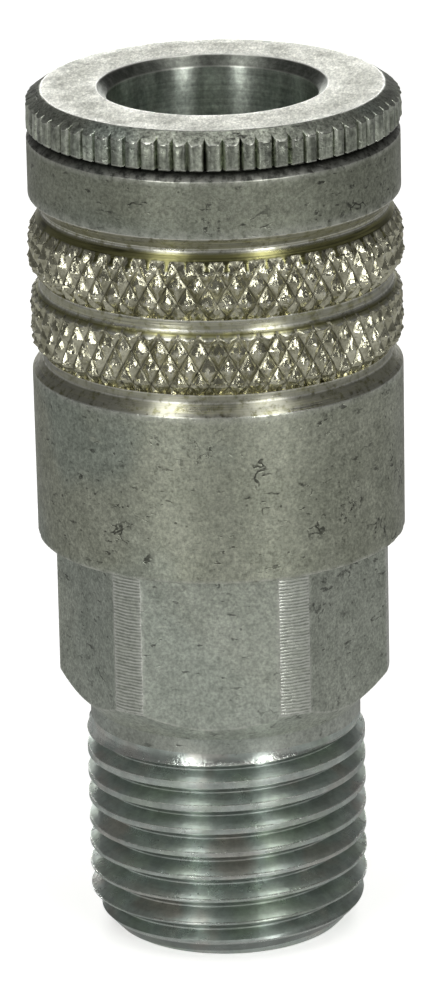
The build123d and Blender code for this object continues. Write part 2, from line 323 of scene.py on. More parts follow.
def blasted(name):
    """The pale, fine-grained end face of the nose ring."""
    material, n = new_material(name)
    grain = n.noise(2500, 4, 0.75, stretch=(1.4, 0.6, 1))
    fine = n.noise(5200, 2, 0.6, stretch=(1.2, 0.5, 1), shift=5.0)
    blotch = n.noise(520, 3, 0.6, shift=3.0)
    pits = n.cells(2100)
    tone = n.sum(n.span(grain, 0.3, 0.68, 0.0, 0.7), n.span(blotch, 0.35, 0.68, 0.0, 0.3))
    colour = n.mix(tone, (0.44, 0.45, 0.4), (0.97, 0.97, 0.9))
    colour = n.shade(colour, n.span(fine, 0.3, 0.7, 0.78, 1.1))
    colour = n.mix(n.span(pits, 0.2, 0.06, 0.0, 0.5), colour, (0.34, 0.35, 0.31))
    wear = n.wear()
    colour = n.mix(n.product(wear, 0.8), colour, (1.0, 1.0, 0.96))
    rough = n.sum(n.span(blotch, 0.3, 0.7, 0.74, 0.64), n.product(wear, -0.2))
    normal = n.bump(grain, 0.6, 0.00007)
    normal = n.bump(pits, 0.25, 0.00005, normal)
    n.metal(colour, rough, normal)
    return material


def knurled(name, light, dark, roughness):
    """The pressed knurl: bright crushed facets and darker valleys."""
    material, n = new_material(name)
    crush = n.noise(2600, 4, 0.72)
    smear = n.noise(800, 3, 0.6, stretch=(1, 1, 0.5), shift=3.0)
    facet = n.cells(2300, (1, 1, 0.6), shift=4.0)
    wear = n.wear()
    tone = n.sum(n.span(crush, 0.3, 0.7, 0.0, 0.5), n.span(smear, 0.35, 0.65, 0.0, 0.5))
    colour = n.mix(tone, dark, light)
    valley = n.product(n.span(wear, 0.16, 0.0), n.span(crush, 0.35, 0.6, 0.25, 0.85))
    colour = n.mix(valley, colour, (0.08, 0.075, 0.06))
    colour = n.mix(n.span(wear, 0.75, 1.0, 0.0, 0.6), colour, (0.97, 0.96, 0.9))
    colour = n.mix(n.span(crush, 0.57, 0.67, 0.0, 0.8), colour, (0.06, 0.057, 0.045))
    rough = n.sum(
        n.span(crush, 0.3, 0.7, roughness + 0.08, roughness - 0.06), n.span(wear, 0.3, 0.0, 0.0, 0.2)
    )
    normal = n.bump(crush, 0.5, 0.00005)
    normal = n.bump(facet, 0.6, 0.00011, normal)
    normal = n.bump(n.noise(1100, shift=6.0), 0.55, 0.00014, normal)
    n.metal(colour, rough, normal)
    return material


def passivated(name, light, dark, roughness):
    """Zinc with a thin clear passivation, whose colour drifts between green, blue and rose."""
    material, n = new_material(name)
    film = n.noise(170, 3, 0.55, stretch=(1, 1, 1.6))
    cloud = n.noise(420, 4, 0.62, shift=6.0)
    rings = n.noise(1, 3, 0.6, stretch=(50, 50, 5200))
    speck = n.noise(2300, 3, 0.7, shift=2.0)
    mottle = n.noise(1200, 4, 0.7, shift=8.0)
    tint = n.mix(n.span(film, 0.38, 0.5), (0.92, 1.0, 0.95), (0.92, 0.98, 1.0))
    tint = n.mix(n.span(film, 0.5, 0.62), tint, (1.0, 0.96, 0.96))
    tone = n.sum(n.span(cloud, 0.3, 0.7, 0.0, 0.6), n.span(rings, 0.3, 0.7, 0.0, 0.4))
    plain = n.mix(tone, dark, light)
    colour = n.add("ShaderNodeVectorMath", {0: plain, 1: tint}, operation="MULTIPLY").outputs[0]
    colour = n.shade(colour, n.span(mottle, 0.28, 0.72, 0.85, 1.15))
    grime = n.scattered(speck, (0.62, 0.74), n.noise(200, shift=12.0), (0.4, 0.6, 0.2, 1.0))
    colour = n.mix(n.product(grime, 0.75), colour, (0.045, 0.048, 0.043))
    wear = n.wear()
    # painted shade: dark where the wear is below 0, in the thread's roots and on their down-facing flanks
    colour = n.mix(n.span(wear, -0.1, -0.6, 0.0, 0.5), colour, (0.055, 0.06, 0.055))
    chips = n.scattered(speck, (0.38, 0.5, 0.1, 1.0), n.noise(500, shift=16.0), (0.36, 0.55, 0.4, 1.0))
    chipped = n.product(n.maths("POWER", n.most(wear, 0.0), 1.6), chips)
    colour = n.mix(chipped, colour, (0.97, 0.98, 0.94))
    rough = n.sum(n.span(cloud, 0.3, 0.7, roughness + 0.07, roughness - 0.05), n.product(chipped, -0.08))
    normal = n.bump(rings, 0.5, 0.00002)
    normal = n.bump(speck, 0.5, 0.00003, normal)
    normal = n.bump(chipped, 0.4, 0.00003, normal)
    n.metal(colour, rough, normal, 0.88)
    return material


def milled(name, light, dark, roughness):
    """The turned corner bands of the hexagon: crisp tool lines that catch the light one by one."""
    material, n = new_material(name)
    inputs = {"Vector": n.place(), "Scale": 1300.0, "Distortion": 2.6, "Detail": 3.0, "Detail Scale": 0.7}
    tool_lines = n.add("ShaderNodeTexWave", inputs, bands_direction="Z").outputs["Fac"]
    speck = n.noise(2300, 3, 0.7, shift=2.0)
    along_line = n.noise(700, 3, 0.6, stretch=(1, 1, 4), shift=4.0)
    colour = n.mix(n.span(speck, 0.3, 0.7), dark, light)
    glint = n.product(n.span(tool_lines, 0.6, 0.95), n.span(along_line, 0.35, 0.6, 0.2, 1.0))
    colour = n.mix(n.product(glint, 0.75), colour, (0.96, 0.97, 0.92))
    colour = n.mix(n.span(tool_lines, 0.3, 0.02, 0.0, 0.55), colour, tinted(dark, 0.4))
    colour = n.mix(n.product(n.wear(), n.span(speck, 0.35, 0.6, 0.2, 0.9)), colour, (0.95, 0.96, 0.9))
    rough = n.span(along_line, 0.3, 0.7, roughness + 0.06, roughness - 0.06)
    normal = n.bump(tool_lines, 0.6, 0.00003)
    normal = n.bump(speck, 0.3, 0.00003, normal)
    n.metal(colour, rough, normal, 0.2)
    return material


def rubber(name, colour):
    """Black seal rubber with a little pale dust."""
    material, n = new_material(name)
    grain = n.noise(2400, 4, 0.6)
    dust = n.noise(500, 3, 0.6, shift=4.0)
    shade = n.mix(n.span(dust, 0.45, 0.75, 0.0, 0.5), colour, tuple(3 * c + 0.02 for c in colour))
    rough = n.span(grain, 0.3, 0.7, 0.42, 0.62)
    normal = n.bump(grain, 0.3, 0.00002)
    shader = n.metal(shade, rough, normal)
    shader.inputs["Metallic"].default_value = 0.0
    shader.inputs["Specular IOR Level"].default_value = 0.4
    return material


skirt_zinc = zinc_skin("zinc_skirt", (0.54, 0.56, 0.46), (0.41, 0.43, 0.345), 0.45)
collar_zinc = zinc_skin(
    "zinc_collar", (0.38, 0.4, 0.325), (0.265, 0.28, 0.222), 0.47, dirt=0.9, cool=0.2, anisotropy=0.1
)
groove_finish = {"depth": 0.00012, "anisotropy": 0.8, "stains": 0.8, "streaks": 0.85}
groove_metal = turned("turned_grooves", (0.6, 0.58, 0.255), (0.165, 0.16, 0.075), 0.29, **groove_finish)
# painted shade: a darker copy of the groove metal for the lowest groove, which dims the strip lights'
# reflection there
shaded_low_groove_metal = turned("low_groove_shaded", (0.46, 0.445, 0.185), (0.12, 0.117, 0.052), 0.31, **groove_finish)
knurl_metal = knurled("diamond_knurl", (0.96, 0.94, 0.74), (0.29, 0.28, 0.19), 0.18)
sleeve_inside = turned("sleeve_inside", (0.42, 0.43, 0.36), (0.26, 0.27, 0.22), 0.34)
# painted shade: near-black zinc on the collar's top chamfer and top face, for the shadowed gap under the nose
# ring, with a little grime and scars
shaded_lip_metal = zinc_skin("painted_shade_lip", (0.06, 0.062, 0.052), (0.025, 0.026, 0.022), 0.62, grain=0.5, scars=0.2)
ring_face = blasted("blasted_face")
ring_side = zinc_skin(
    "ring_side", (0.5, 0.53, 0.45), (0.25, 0.27, 0.22), 0.32,
    grain=0.4, dirt=0.85, scars=0.6, drag=0.4, anisotropy=0.2,
)
ring_chamfer = zinc_skin(
    "ring_chamfer", (0.38, 0.4, 0.34), (0.15, 0.16, 0.135), 0.42,
    grain=0.6, dirt=0.9, dimple=0.8, anisotropy=0.0,
)
bore_chamfer = honed("bore_chamfer", (0.34, 0.36, 0.32), (0.15, 0.16, 0.14), 0.5)
bore_metal = honed("honed_bore", (0.62, 0.67, 0.6), (0.3, 0.34, 0.3), 0.34)
hex_metal = zinc_skin(
    "hexagon_flats", (0.635, 0.67, 0.585), (0.52, 0.555, 0.48), 0.52,
    grain=0.27, dirt=0.5, scars=0.8, cool=0.2,
)
corner_metal = milled("hexagon_corners", (0.78, 0.815, 0.72), (0.48, 0.51, 0.44), 0.34)
thread_metal = passivated("thread_zinc", (0.78, 0.815, 0.75), (0.54, 0.57, 0.52), 0.3)
neck_metal = zinc_skin(
    "neck_zinc", (0.63, 0.665, 0.6), (0.47, 0.5, 0.44), 0.4,
    grain=0.2, dirt=0.4, scars=0.6, cool=0.25, anisotropy=0.75,
)
barrel_metal = turned(
    "barrel_steel", (0.62, 0.68, 0.63), (0.42, 0.475, 0.43), 0.3, depth=0.00001, anisotropy=0.7, stains=0.25
)
chrome = turned(
    "ball_chrome", (0.86, 0.87, 0.88), (0.74, 0.75, 0.77), 0.1, depth=0.000002, anisotropy=0.0, stains=0.1
)
spring_metal = turned(
    "spring_steel", (0.52, 0.52, 0.5), (0.33, 0.33, 0.32), 0.3, depth=0.00001, anisotropy=0.0, stains=0.3
)
brass = turned("brass", (0.86, 0.66, 0.3), (0.62, 0.44, 0.18), 0.24, depth=0.00001)
nitrile = rubber("nitrile", (0.018, 0.018, 0.019))

# ---------------------------------------------------------------- mesh helpers


ROUNDING_STEPS = 3
LARGEST_CUT = 0.42
WELD_STEPS_PER_MM = 1e5


def cushioned(points):
    """Rounds the corners of a profile of (radius, height, rounding, zone).

    The result is rows of (radius, height, zone, wear). A corner takes at most LARGEST_CUT of each side.
    """
    rows = []
    steps = ROUNDING_STEPS
    count = len(points)
    for index, (radius, height, rounding, zone) in enumerate(points):
        corner = np.array((radius, height))
        before = np.array(points[index - 1][:2]) - corner
        after = np.array(points[(index + 1) % count][:2]) - corner
        length_before, length_after = np.linalg.norm(before), np.linalg.norm(after)
        cut = min(rounding, LARGEST_CUT * length_before, LARGEST_CUT * length_after)
        start = corner + before / length_before * cut
        end = corner + after / length_after * cut
        previous_zone = points[index - 1][3]
        for step in range(steps + 1):
            t = step / steps
            spot = (1 - t) ** 2 * start + 2 * t * (1 - t) * corner + t**2 * end
            wear = 1.0 if 0 < step < steps else 0.5
            rows.append((spot[0], spot[1], zone if t > 0.5 else previous_zone, wear))
    return rows


def weld(vertices, faces, zones, wear):
    """Joins vertices that fall together, and drops the faces that lose their area."""
    keys = np.round(vertices * WELD_STEPS_PER_MM).astype(np.int64)
    _, first, place = np.unique(keys, axis=0, return_index=True, return_inverse=True)
    place = place.reshape(-1)
    kept_faces = []
    kept_zones = []
    for face, zone in zip(faces, zones):
        corners = []
        for vertex in face:
            corner = int(place[vertex])
            if corner not in corners:
                corners.append(corner)
        if len(corners) > 2:
            kept_faces.append(corners)
            kept_zones.append(zone)
    return vertices[first], kept_faces, kept_zones, wear[first]


def make_piece(name, vertices, faces, zones, wear, materials, sharp_angle):
    """A mesh object in metres from vertices in millimetres; each face's zone is its material."""
    mesh = bpy.data.meshes.new(name)
    mesh.from_pydata((vertices * MM).tolist(), [], faces)
    for material in materials:
        mesh.materials.append(material)
    mesh.polygons.foreach_set("material_index", np.array(zones, dtype=np.int32))
    mesh.polygons.foreach_set("use_smooth", np.ones(len(faces), dtype=bool))
    attribute = mesh.attributes.new("wear", "FLOAT", "POINT")
    attribute.data.foreach_set("value", np.array(wear, dtype=np.float32))
    mesh.validate()
    mesh.set_sharp_from_angle(angle=math.radians(sharp_angle))
    mesh.update()
    piece = bpy.data.objects.new(name, mesh)
    bpy.context.scene.collection.objects.link(piece)
    weighted = piece.modifiers.new("weighted_normals", "WEIGHTED_NORMAL")
    weighted.keep_sharp = True
    return piece


def row_grids(rows, columns):
    """The radius and height of every vertex, the zone of every row and the wear of every vertex.

    A row is (radius, height, zone, wear), of numbers or of arrays with a value for each column.
    """
    radius, height, wear = (
        np.array([np.broadcast_to(row[part], columns) for row in rows], dtype=float) for part in (0, 1, 3)
    )
    return radius, height, np.array([row[2] for row in rows]), wear


def lattice(radius, height, angles, closed_rows=True, seam_shift=0):
    """Vertices and faces of rows x columns round the axis; a helix joins its ends seam_shift rows apart."""
    rows, columns = radius.shape
    vertices = np.stack([radius * np.cos(angles), radius * np.sin(angles), height], axis=-1).reshape(-1, 3)
    row, column = np.meshgrid(
        np.arange(rows if closed_rows else rows - 1), np.arange(columns), indexing="ij"
    )
    shift = np.where(column == columns - 1, seam_shift, 0)
    next_column = (column + 1) % columns
    upper = (row + 1) % rows
    inside = upper + shift < rows
    corners = np.stack(
        [
            row * columns + column,
            (row + shift) * columns + next_column,
            (upper + shift) * columns + next_column,
            upper * columns + column,
        ],
        axis=-1,
    )
    return vertices, corners[inside], row[inside], column[inside]


# ---------------------------------------------------------------- sleeve

diamonds = 58
diamond_steps = 12
diamond_height = 2.44
diamond_centre = math.radians(275.24)
upper_row = sleeve_bottom + 22.18
lower_row = sleeve_bottom + 17.2
upper_band_radius = 13.75
lower_band_radius = 13.67
knurl_depth = 0.56
crushed_point = 0.012
point_unevenness = 0.26
facet_tilt = 0.2
facet_roughness = 0.12
least_cut = 0.004
wobble_rows = 40
row_spacing = 0.045
nicks = 46
nick_reach = 0.32
outer_wall = 12.5
SKIN, GROOVE, KNURL, INSIDE, COLLAR, SHADED_LIP, LOW_GROOVE = range(7)

# radius, height above the sleeve's bottom, rounding and the zone of the wall up to the next point
sleeve_points = [
    (13.48, 0.0, 0.12, SKIN),
    (13.54, 12.55, 0.09, LOW_GROOVE),
    (12.75, 13.4, 0.1, LOW_GROOVE),
    (12.75, 14.0, 0.1, LOW_GROOVE),
    (lower_band_radius, 15.05, 0.05, KNURL),
    (lower_band_radius, 18.0, 0.1, KNURL),
    (13.45, 18.33, 0.1, GROOVE),
    (12.85, 18.85, 0.12, GROOVE),
    (12.85, 19.6, 0.1, GROOVE),
    (upper_band_radius, 20.7, 0.05, KNURL),
    (upper_band_radius, 22.85, 0.1, KNURL),
    (13.53, 23.18, 0.1, GROOVE),
    (12.65, 24.65, 0.12, GROOVE),
    (12.65, 24.85, 0.06, GROOVE),
    (13.53, 25.8, 0.08, COLLAR),
    # the collar's top chamfer and top face carry painted shade of the gap under the nose ring
    (13.53, 30.0, 0.06, SHADED_LIP),
    (13.0, 30.55, 0.06, SHADED_LIP),
    (11.9, 30.55, 0.1, INSIDE),
    (11.9, 28.85, 0.05, INSIDE),
    (11.85, 28.85, 0.05, INSIDE),
    (10.4, 23.8, 0.1, INSIDE),
    (10.4, 19.65, 0.1, INSIDE),
    (12.0, 19.65, 0.1, INSIDE),
    (12.0, 6.8, 0.1, INSIDE),
    (12.3, 6.8, 0.05, INSIDE),
    (12.3, 0.0, 0.1, SKIN),
]
sleeve_rows = cushioned([(r, sleeve_bottom + z, c, zone) for r, z, c, zone in sleeve_points])


def knurl_height(angle, height, row_height):
    """0 in a valley of the diamond knurl and 1 on a point."""
    turn = (angle - diamond_centre) * diamonds / FULL_TURN
    climb = (height - row_height) / diamond_height
    first = np.abs(np.mod(turn + climb + 0.5, 1) - 0.5) * 2
    second = np.abs(np.mod(turn - climb + 0.5, 1) - 0.5) * 2
    return 1 - np.maximum(first, second)


def insert_rows(rows, heights_wanted):
    """Adds rows to the outer wall of a profile at these heights, where none is near."""
    result = [rows[0]]
    for before, after in zip(rows, rows[1:]):
        for height in heights_wanted:
            if before[1] + row_spacing < height < after[1] - row_spacing:
                share = (height - before[1]) / (after[1] - before[1])
                radius = before[0] + share * (after[0] - before[0])
                result.append((radius, height, before[2], 0.0))
        result.append(after)
    return result


# above this height the collar's top keeps no pale rubbed edges, so its painted shade stays dark
painted_shade_lip = sleeve_bottom + 30.1
sleeve_rows = [(r, z, zone, 0.0 if z > painted_shade_lip and r > 12 else worn) for r, z, zone, worn in sleeve_rows]

outer_rows = next(i for i, row in enumerate(sleeve_rows) if row[0] < outer_wall)
knurl_step = diamond_height / diamond_steps
wanted = [sleeve_bottom + z for z in (0.3, 0.6, 1.5, 3, 4.5, 6, 7.5, 9, 10.5, 12, 26.6, 27.4, 28.2, 29, 29.6)]
for row_height, low, high in ((lower_row, 14.1, 18.8), (upper_row, 19.7, 24.6)):
    for step in range(-2 * diamond_steps, 2 * diamond_steps + 1):
        height = row_height + step * knurl_step
        if sleeve_bottom + low < height < sleeve_bottom + high:
            wanted.append(height)
sleeve_rows = insert_rows(sleeve_rows[:outer_rows], sorted(wanted)) + sleeve_rows[outer_rows:]

columns = diamonds * diamond_steps
rows_count = len(sleeve_rows)
angles = diamond_centre + np.arange(columns) * FULL_TURN / columns
radius_grid, height_grid, profile_zone, wear_grid = row_grids(sleeve_rows, columns)
profile_radius = radius_grid[:, 0]
profile_height = height_grid[:, 0] - sleeve_bottom
random = np.random.RandomState(7)
wobble = random.uniform(0, 1, (wobble_rows, diamonds * 2))
knurl_mask = np.zeros_like(radius_grid, dtype=bool)
bands = (
    # radius, height of a row of points, and above the sleeve's bottom: low and high end, start of the fade
    (lower_band_radius, lower_row, 14.05, 18.45, 18.1),
    (upper_band_radius, upper_row, 19.65, 24.0, 23.4),
)
for band_radius, row_height, low, high, fade in bands:
    in_band = (profile_height > low) & (profile_height < high) & (profile_radius > outer_wall)
    raised = knurl_height(angles, height_grid, row_height)
    rounded = 1 - np.sqrt((1 - raised) ** 2 + crushed_point) + math.sqrt(crushed_point)
    column_index = np.round((angles - diamond_centre) * diamonds / math.pi).astype(int) % (diamonds * 2)
    row_index = np.round((height_grid - row_height) / (diamond_height / 2)).astype(int) % wobble_rows
    uneven = point_unevenness * wobble[row_index, column_index]
    slant = np.sin(height_grid * 9 + column_index)
    tilt = facet_tilt * (wobble[(row_index + 7) % wobble_rows, column_index] - 0.5) * slant
    crushed = random.uniform(-facet_roughness, facet_roughness, radius_grid.shape)
    lift = np.clip(rounded - (uneven + tilt - crushed) * raised, 0.04, 1)
    depth = knurl_depth * np.interp(profile_height, [fade, high], [1.0, 0.35])[:, None]
    start = np.minimum(band_radius, radius_grid + 0.16)
    pressed = start - depth * (1 - lift)
    cut = in_band[:, None] & (pressed < radius_grid - least_cut)
    radius_grid = np.where(cut, pressed, radius_grid)
    wear_grid = np.where(cut, raised, wear_grid)
    knurl_mask |= cut

nick_wave = np.zeros(columns)
for _ in range(nicks):
    nick_angle = random.uniform(0, FULL_TURN)
    nick_width = random.uniform(0.006, 0.03)
    nick_depth = random.uniform(0.02, 0.1)
    apart = np.abs(np.mod(angles - nick_angle + math.pi, FULL_TURN) - math.pi)
    nick_wave += nick_depth * np.exp(-((apart / nick_width) ** 2))
edge_share = np.where(profile_radius > outer_wall, np.clip(1 - profile_height / nick_reach, 0, 1), 0)[:, None]
radius_grid = radius_grid - edge_share * nick_wave
wear_grid = np.maximum(wear_grid, edge_share * np.clip(9 * nick_wave, 0, 1))

vertices, quads, quad_rows, quad_columns = lattice(radius_grid, height_grid, angles)
next_columns = (quad_columns + 1) % columns
next_rows = (quad_rows + 1) % rows_count
corner_mask = (
    knurl_mask[quad_rows, quad_columns].astype(int)
    + knurl_mask[quad_rows, next_columns]
    + knurl_mask[next_rows, quad_columns]
    + knurl_mask[next_rows, next_columns]
)
quad_zones = np.where(profile_zone[quad_rows] == KNURL, GROOVE, profile_zone[quad_rows])
quad_zones = np.where(corner_mask >= 2, KNURL, quad_zones)
flat_radius = radius_grid.reshape(-1)
sleeve_faces = []
sleeve_zones = []
# a face of the knurl is split along its lower diagonal, which keeps the valleys crisp
for quad, zone, mask in zip(quads.tolist(), quad_zones.tolist(), corner_mask.tolist()):
    if mask == 0:
        sleeve_faces.append(quad)
        sleeve_zones.append(zone)
        continue
    a, b, c, d = quad
    if flat_radius[a] + flat_radius[c] < flat_radius[b] + flat_radius[d]:
        sleeve_faces += [[a, b, c], [a, c, d]]
    else:
        sleeve_faces += [[a, b, d], [b, c, d]]
    sleeve_zones += [zone, zone]
sleeve = make_piece(
    "knurled_sleeve", vertices, sleeve_faces, sleeve_zones, wear_grid.reshape(-1),
    [skirt_zinc, groove_metal, knurl_metal, sleeve_inside, collar_zinc, shaded_lip_metal, shaded_low_groove_metal], 34,
)
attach(sleeve, "sleeve")
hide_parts("sleeve")

# ---------------------------------------------------------------- nose ring

teeth = 69
tooth_steps = 18
tooth_phase = 0.0227
ring_radius = 13.64
bore_radius = 7.65
hub_radius = 8.95
face_radius = 12.46
tooth_foot = 0.1
ring_flange = ring_top - 2.75
chamfer_low = ring_top - 0.83
chamfer_slope = (ring_top - chamfer_low) / (ring_radius - face_radius)
TOP, SIDE, CHAMFER, BORE, BORE_CHAMFER = range(5)

columns = teeth * tooth_steps
# from -1 in the valley before a tooth, over 0 on its middle, to 1 in the valley after it
across = (np.arange(columns) % tooth_steps) / tooth_steps * 2 - 1
tooth_number = np.arange(columns) // tooth_steps
valley_shift = random.uniform(-0.09, 0.09, teeth)
shift_before = valley_shift[tooth_number]
shift_after = valley_shift[(tooth_number + 1) % teeth]
tooth_turn = tooth_number + shift_before + (1 + shift_after - shift_before) * (across + 1) / 2
angles = tooth_phase + tooth_turn * FULL_TURN / teeth
lean = random.uniform(-0.22, 0.22, teeth)[tooth_number]
worn_down = random.uniform(0.0, 0.06, teeth)[tooth_number]
valley_depth = random.uniform(0.28, 0.5, teeth)[tooth_number]
bowl = random.uniform(-0.07, 0.12, teeth)[tooth_number]
within = np.abs(across)
crown = 1 - np.abs(across + lean * (1 - across**2)) ** 2
sunk = worn_down + 0.12 * (1 - crown) + valley_depth * within**5 + 0.8 * bowl * (1 - within**2)
tooth_radius = ring_radius - sunk
lip_height = chamfer_low + sunk * chamfer_slope
foot = np.clip(0.2 - sunk, 0.0, None)
scallop = 0.16 * within**6
lip_wear = np.clip(1.6 - 1.7 * within, 0.1, 1) * random.uniform(0.4, 1.0, teeth)[tooth_number]
cup = random.uniform(0.02, 0.09, teeth)[tooth_number] * np.clip(1 - (within / 0.75) ** 2, 0, 1)
# painted glints: pale streaks down each tooth's sides near its lip, carried in the wear
shoulder_glint = np.exp(-(((within - 0.7) / 0.16) ** 2)) * random.uniform(0.2, 1.0, teeth)[tooth_number]
tooth_rows = []
tooth_low = ring_flange + tooth_foot + foot + scallop
tooth_high = lip_height - 0.14
for share in (0.0, 0.2, 0.4, 0.6, 0.75, 0.9, 1.0):
    dent = 0.03 * np.sin(5 * share + tooth_number * 1.7) * (1 - within**2)
    near_lip = np.clip((share - 0.6) / 0.3, 0, 1)
    height = tooth_low + share * (tooth_high - tooth_low)
    radius = tooth_radius - np.abs(dent) - near_lip * cup
    tooth_rows.append((radius, height, SIDE, 0.03 + 0.9 * near_lip * shoulder_glint))
ring_rows = [
    (bore_radius, ring_seat, BORE, 0.2),
    (hub_radius, ring_seat, SIDE, 0.2),
    (hub_radius, ring_flange, SIDE, 0.0),
    (tooth_radius - foot - 0.06, ring_flange + scallop, SIDE, 0.1),
    (tooth_radius - foot, ring_flange + 0.02 + scallop, SIDE, 0.6),
    (tooth_radius - 0.02, ring_flange + 0.04 + foot + scallop, SIDE, 0.6),
    *tooth_rows,
    (tooth_radius - 0.008, lip_height - 0.06, SIDE, lip_wear),
    (tooth_radius - 0.035, lip_height, CHAMFER, lip_wear),
    (tooth_radius - 0.1, lip_height + 0.06, CHAMFER, 0.7 * lip_wear),
    (tooth_radius - 0.2, lip_height + 0.13, CHAMFER, 0.1),
    (12.9, chamfer_low + (ring_radius - 12.9) * chamfer_slope, CHAMFER, 0.0),
    (12.62, chamfer_low + (ring_radius - 12.62) * chamfer_slope, CHAMFER, 0.0),
    (12.51, ring_top - 0.045, CHAMFER, 0.3),
    (12.43, ring_top - 0.01, TOP, 0.9),
    (12.3, ring_top, TOP, 0.2),
    (11.0, ring_top, TOP, 0.0),
    (9.6, ring_top, TOP, 0.0),
    (8.46, ring_top, TOP, 0.2),
    (8.38, ring_top - 0.01, TOP, 1.0),
    (8.33, ring_top - 0.05, BORE_CHAMFER, 0.8),
    (8.29, ring_top - 0.12, BORE_CHAMFER, 0.05),
    (8.0, ring_top - 0.42, BORE_CHAMFER, 0.0),
    (7.74, ring_top - 0.69, BORE_CHAMFER, 0.05),
    (bore_radius + 0.02, ring_top - 0.78, BORE, 0.6),
    (bore_radius, ring_top - 0.86, BORE, 0.1),
    (bore_radius, ring_top - 2.6, BORE, 0.0),
    (bore_radius, ring_top - 4.2, BORE, 0.0),
]
radius_grid, height_grid, zone_of_row, wear_grid = row_grids(ring_rows, columns)
vertices, quads, quad_rows, quad_columns = lattice(radius_grid, height_grid, angles)
nose_ring = make_piece(
    "knurled_nose_ring", vertices, quads.tolist(), zone_of_row[quad_rows].tolist(), wear_grid.reshape(-1),
    [ring_face, ring_side, ring_chamfer, bore_metal, bore_chamfer], 50,
)
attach(nose_ring, "base")
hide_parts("nose_ring")

# ---------------------------------------------------------------- adapter

pitch = 25.4 / 14
blank_radius = 10.32
root_at_end = 8.87
taper = 1 / 32
root_flat = 0.06
flank = math.tan(math.radians(30))
first_groove = 0.88
last_turn = 8.25
thread_turns = range(-1, 10)
thread_end = 16.4
half_flats = 22.225 / 2
corner_radius = 12.2
hex_bottom = 17.55
hex_middle = 24.0
neck_radius = 10.0
socket_radius = 9.5
chamber_radius = 7.9
passage_radius = 6.2
edge_width = 0.006
SIXTH_TURN = math.radians(60)
FLAT, CORNER, THREAD, BORE_IN, NECK = range(5)

band_edge = math.acos(half_flats / corner_radius)
edge_angles = []
for flat in range(6):
    middle = math.radians(30 + 60 * flat)
    for side in (-1, 1):
        for offset in (-edge_width, 0.0, edge_width):
            edge_angles.append((middle + side * band_edge + offset) % FULL_TURN)
plain_angles = [math.radians(a) for a in range(360)]
plain_angles = [a for a in plain_angles if min(abs(a - e) for e in edge_angles) > 1.5 * edge_width]
angles = np.array(sorted(plain_angles + edge_angles))
columns = len(angles)
from_flat = np.abs(np.mod(angles, SIXTH_TURN) - SIXTH_TURN / 2)
hex_radius = np.minimum(corner_radius, half_flats / np.cos(from_flat))
hex_radius = hex_radius - 0.02 * np.exp(-(((from_flat - band_edge) / edge_width) ** 2))
on_corner = from_flat > band_edge - 1e-6
blank_heights = [0.0, 0.12, 1.75, 2.9, 15.45, 15.53, 15.82, 15.95, 30.0]
blank_radii = [8.3, 8.52, 10.0, blank_radius, blank_radius, 10.28, 10.02, neck_radius, neck_radius]


def blank(height):
    """The radius of the turned outside before the thread is cut."""
    return np.interp(height, blank_heights, blank_radii)


# places across a groove, from its middle at 0 over its edges at -1 and 1 to the crests beyond them
groove_samples = [-1.35, -1.12, -1.0, -0.9, -0.66, -0.33, -0.08, 0.0, 0.08, 0.33, 0.66, 0.9, 1.0, 1.12, 1.35]
under_flank = {0.9: 0.004, 1.0: 0.035}
under_crest = {1.12: 0.006}
# painted shade in each groove's root and down-facing flank, stored as a wear below 0
painted_root_shade = -0.6
thread_rows = []
for turn in thread_turns:
    swept = turn + angles / FULL_TURN
    centre = first_groove + swept * pitch
    run_out = np.clip((swept - last_turn) * FULL_TURN, 0, 1.2)
    root = (root_at_end + np.minimum(centre, first_groove + last_turn * pitch) * taper) / np.cos(run_out)
    half_width = np.clip((blank_radius - root) * flank + root_flat, 0.02, 0.48 * pitch)
    for sample in groove_samples:
        reach = abs(sample)
        if reach > 1:
            offset = np.sign(sample) * (half_width + (reach - 1) * 0.5 * (pitch / 2 - half_width))
            wear = 0.35 if reach > 1.2 else 1.0
        else:
            offset = sample * half_width
            wear = 1.0 if reach > 0.95 else painted_root_shade if sample > 0.05 else 0.0
        height = centre + offset
        crest = blank(height)
        groove = root + np.maximum(np.abs(offset) - root_flat, 0) / flank - under_flank.get(reach, 0.0)
        radius = np.minimum(crest - under_crest.get(reach, 0.0), groove)
        radius = np.minimum(np.maximum(radius, root + 0.01), crest)
        thread_rows.append((radius, height, THREAD, np.where(half_width > 0.05, wear, 0.1)))
radius_grid, height_grid, _, wear_grid = row_grids(thread_rows, columns)
column = np.arange(columns)
# the crest's nearest vertices move on to each corner of the turned outside, so the corner stays sharp
for corner in blank_heights[3:8]:
    nearest = np.argmin(np.abs(height_grid - corner), axis=0)
    crest_there = np.abs(radius_grid[nearest, column] - blank(height_grid[nearest, column])) < 0.02
    height_grid[nearest[crest_there], column[crest_there]] = corner
    radius_grid[nearest[crest_there], column[crest_there]] = blank(corner)
below = height_grid < 0
above = height_grid > thread_end
height_grid = np.clip(height_grid, 0.0, thread_end)
radius_grid = np.where(above, neck_radius, np.minimum(radius_grid, blank(height_grid)))
radius_grid = np.where(below, blank(0.0), radius_grid)
adapter_vertices, quads, _, _ = lattice(
    radius_grid, height_grid, angles, closed_rows=False, seam_shift=len(groove_samples)
)
adapter_faces = quads.tolist()
adapter_zones = [THREAD] * len(adapter_faces)
adapter_wear = wear_grid.reshape(-1)

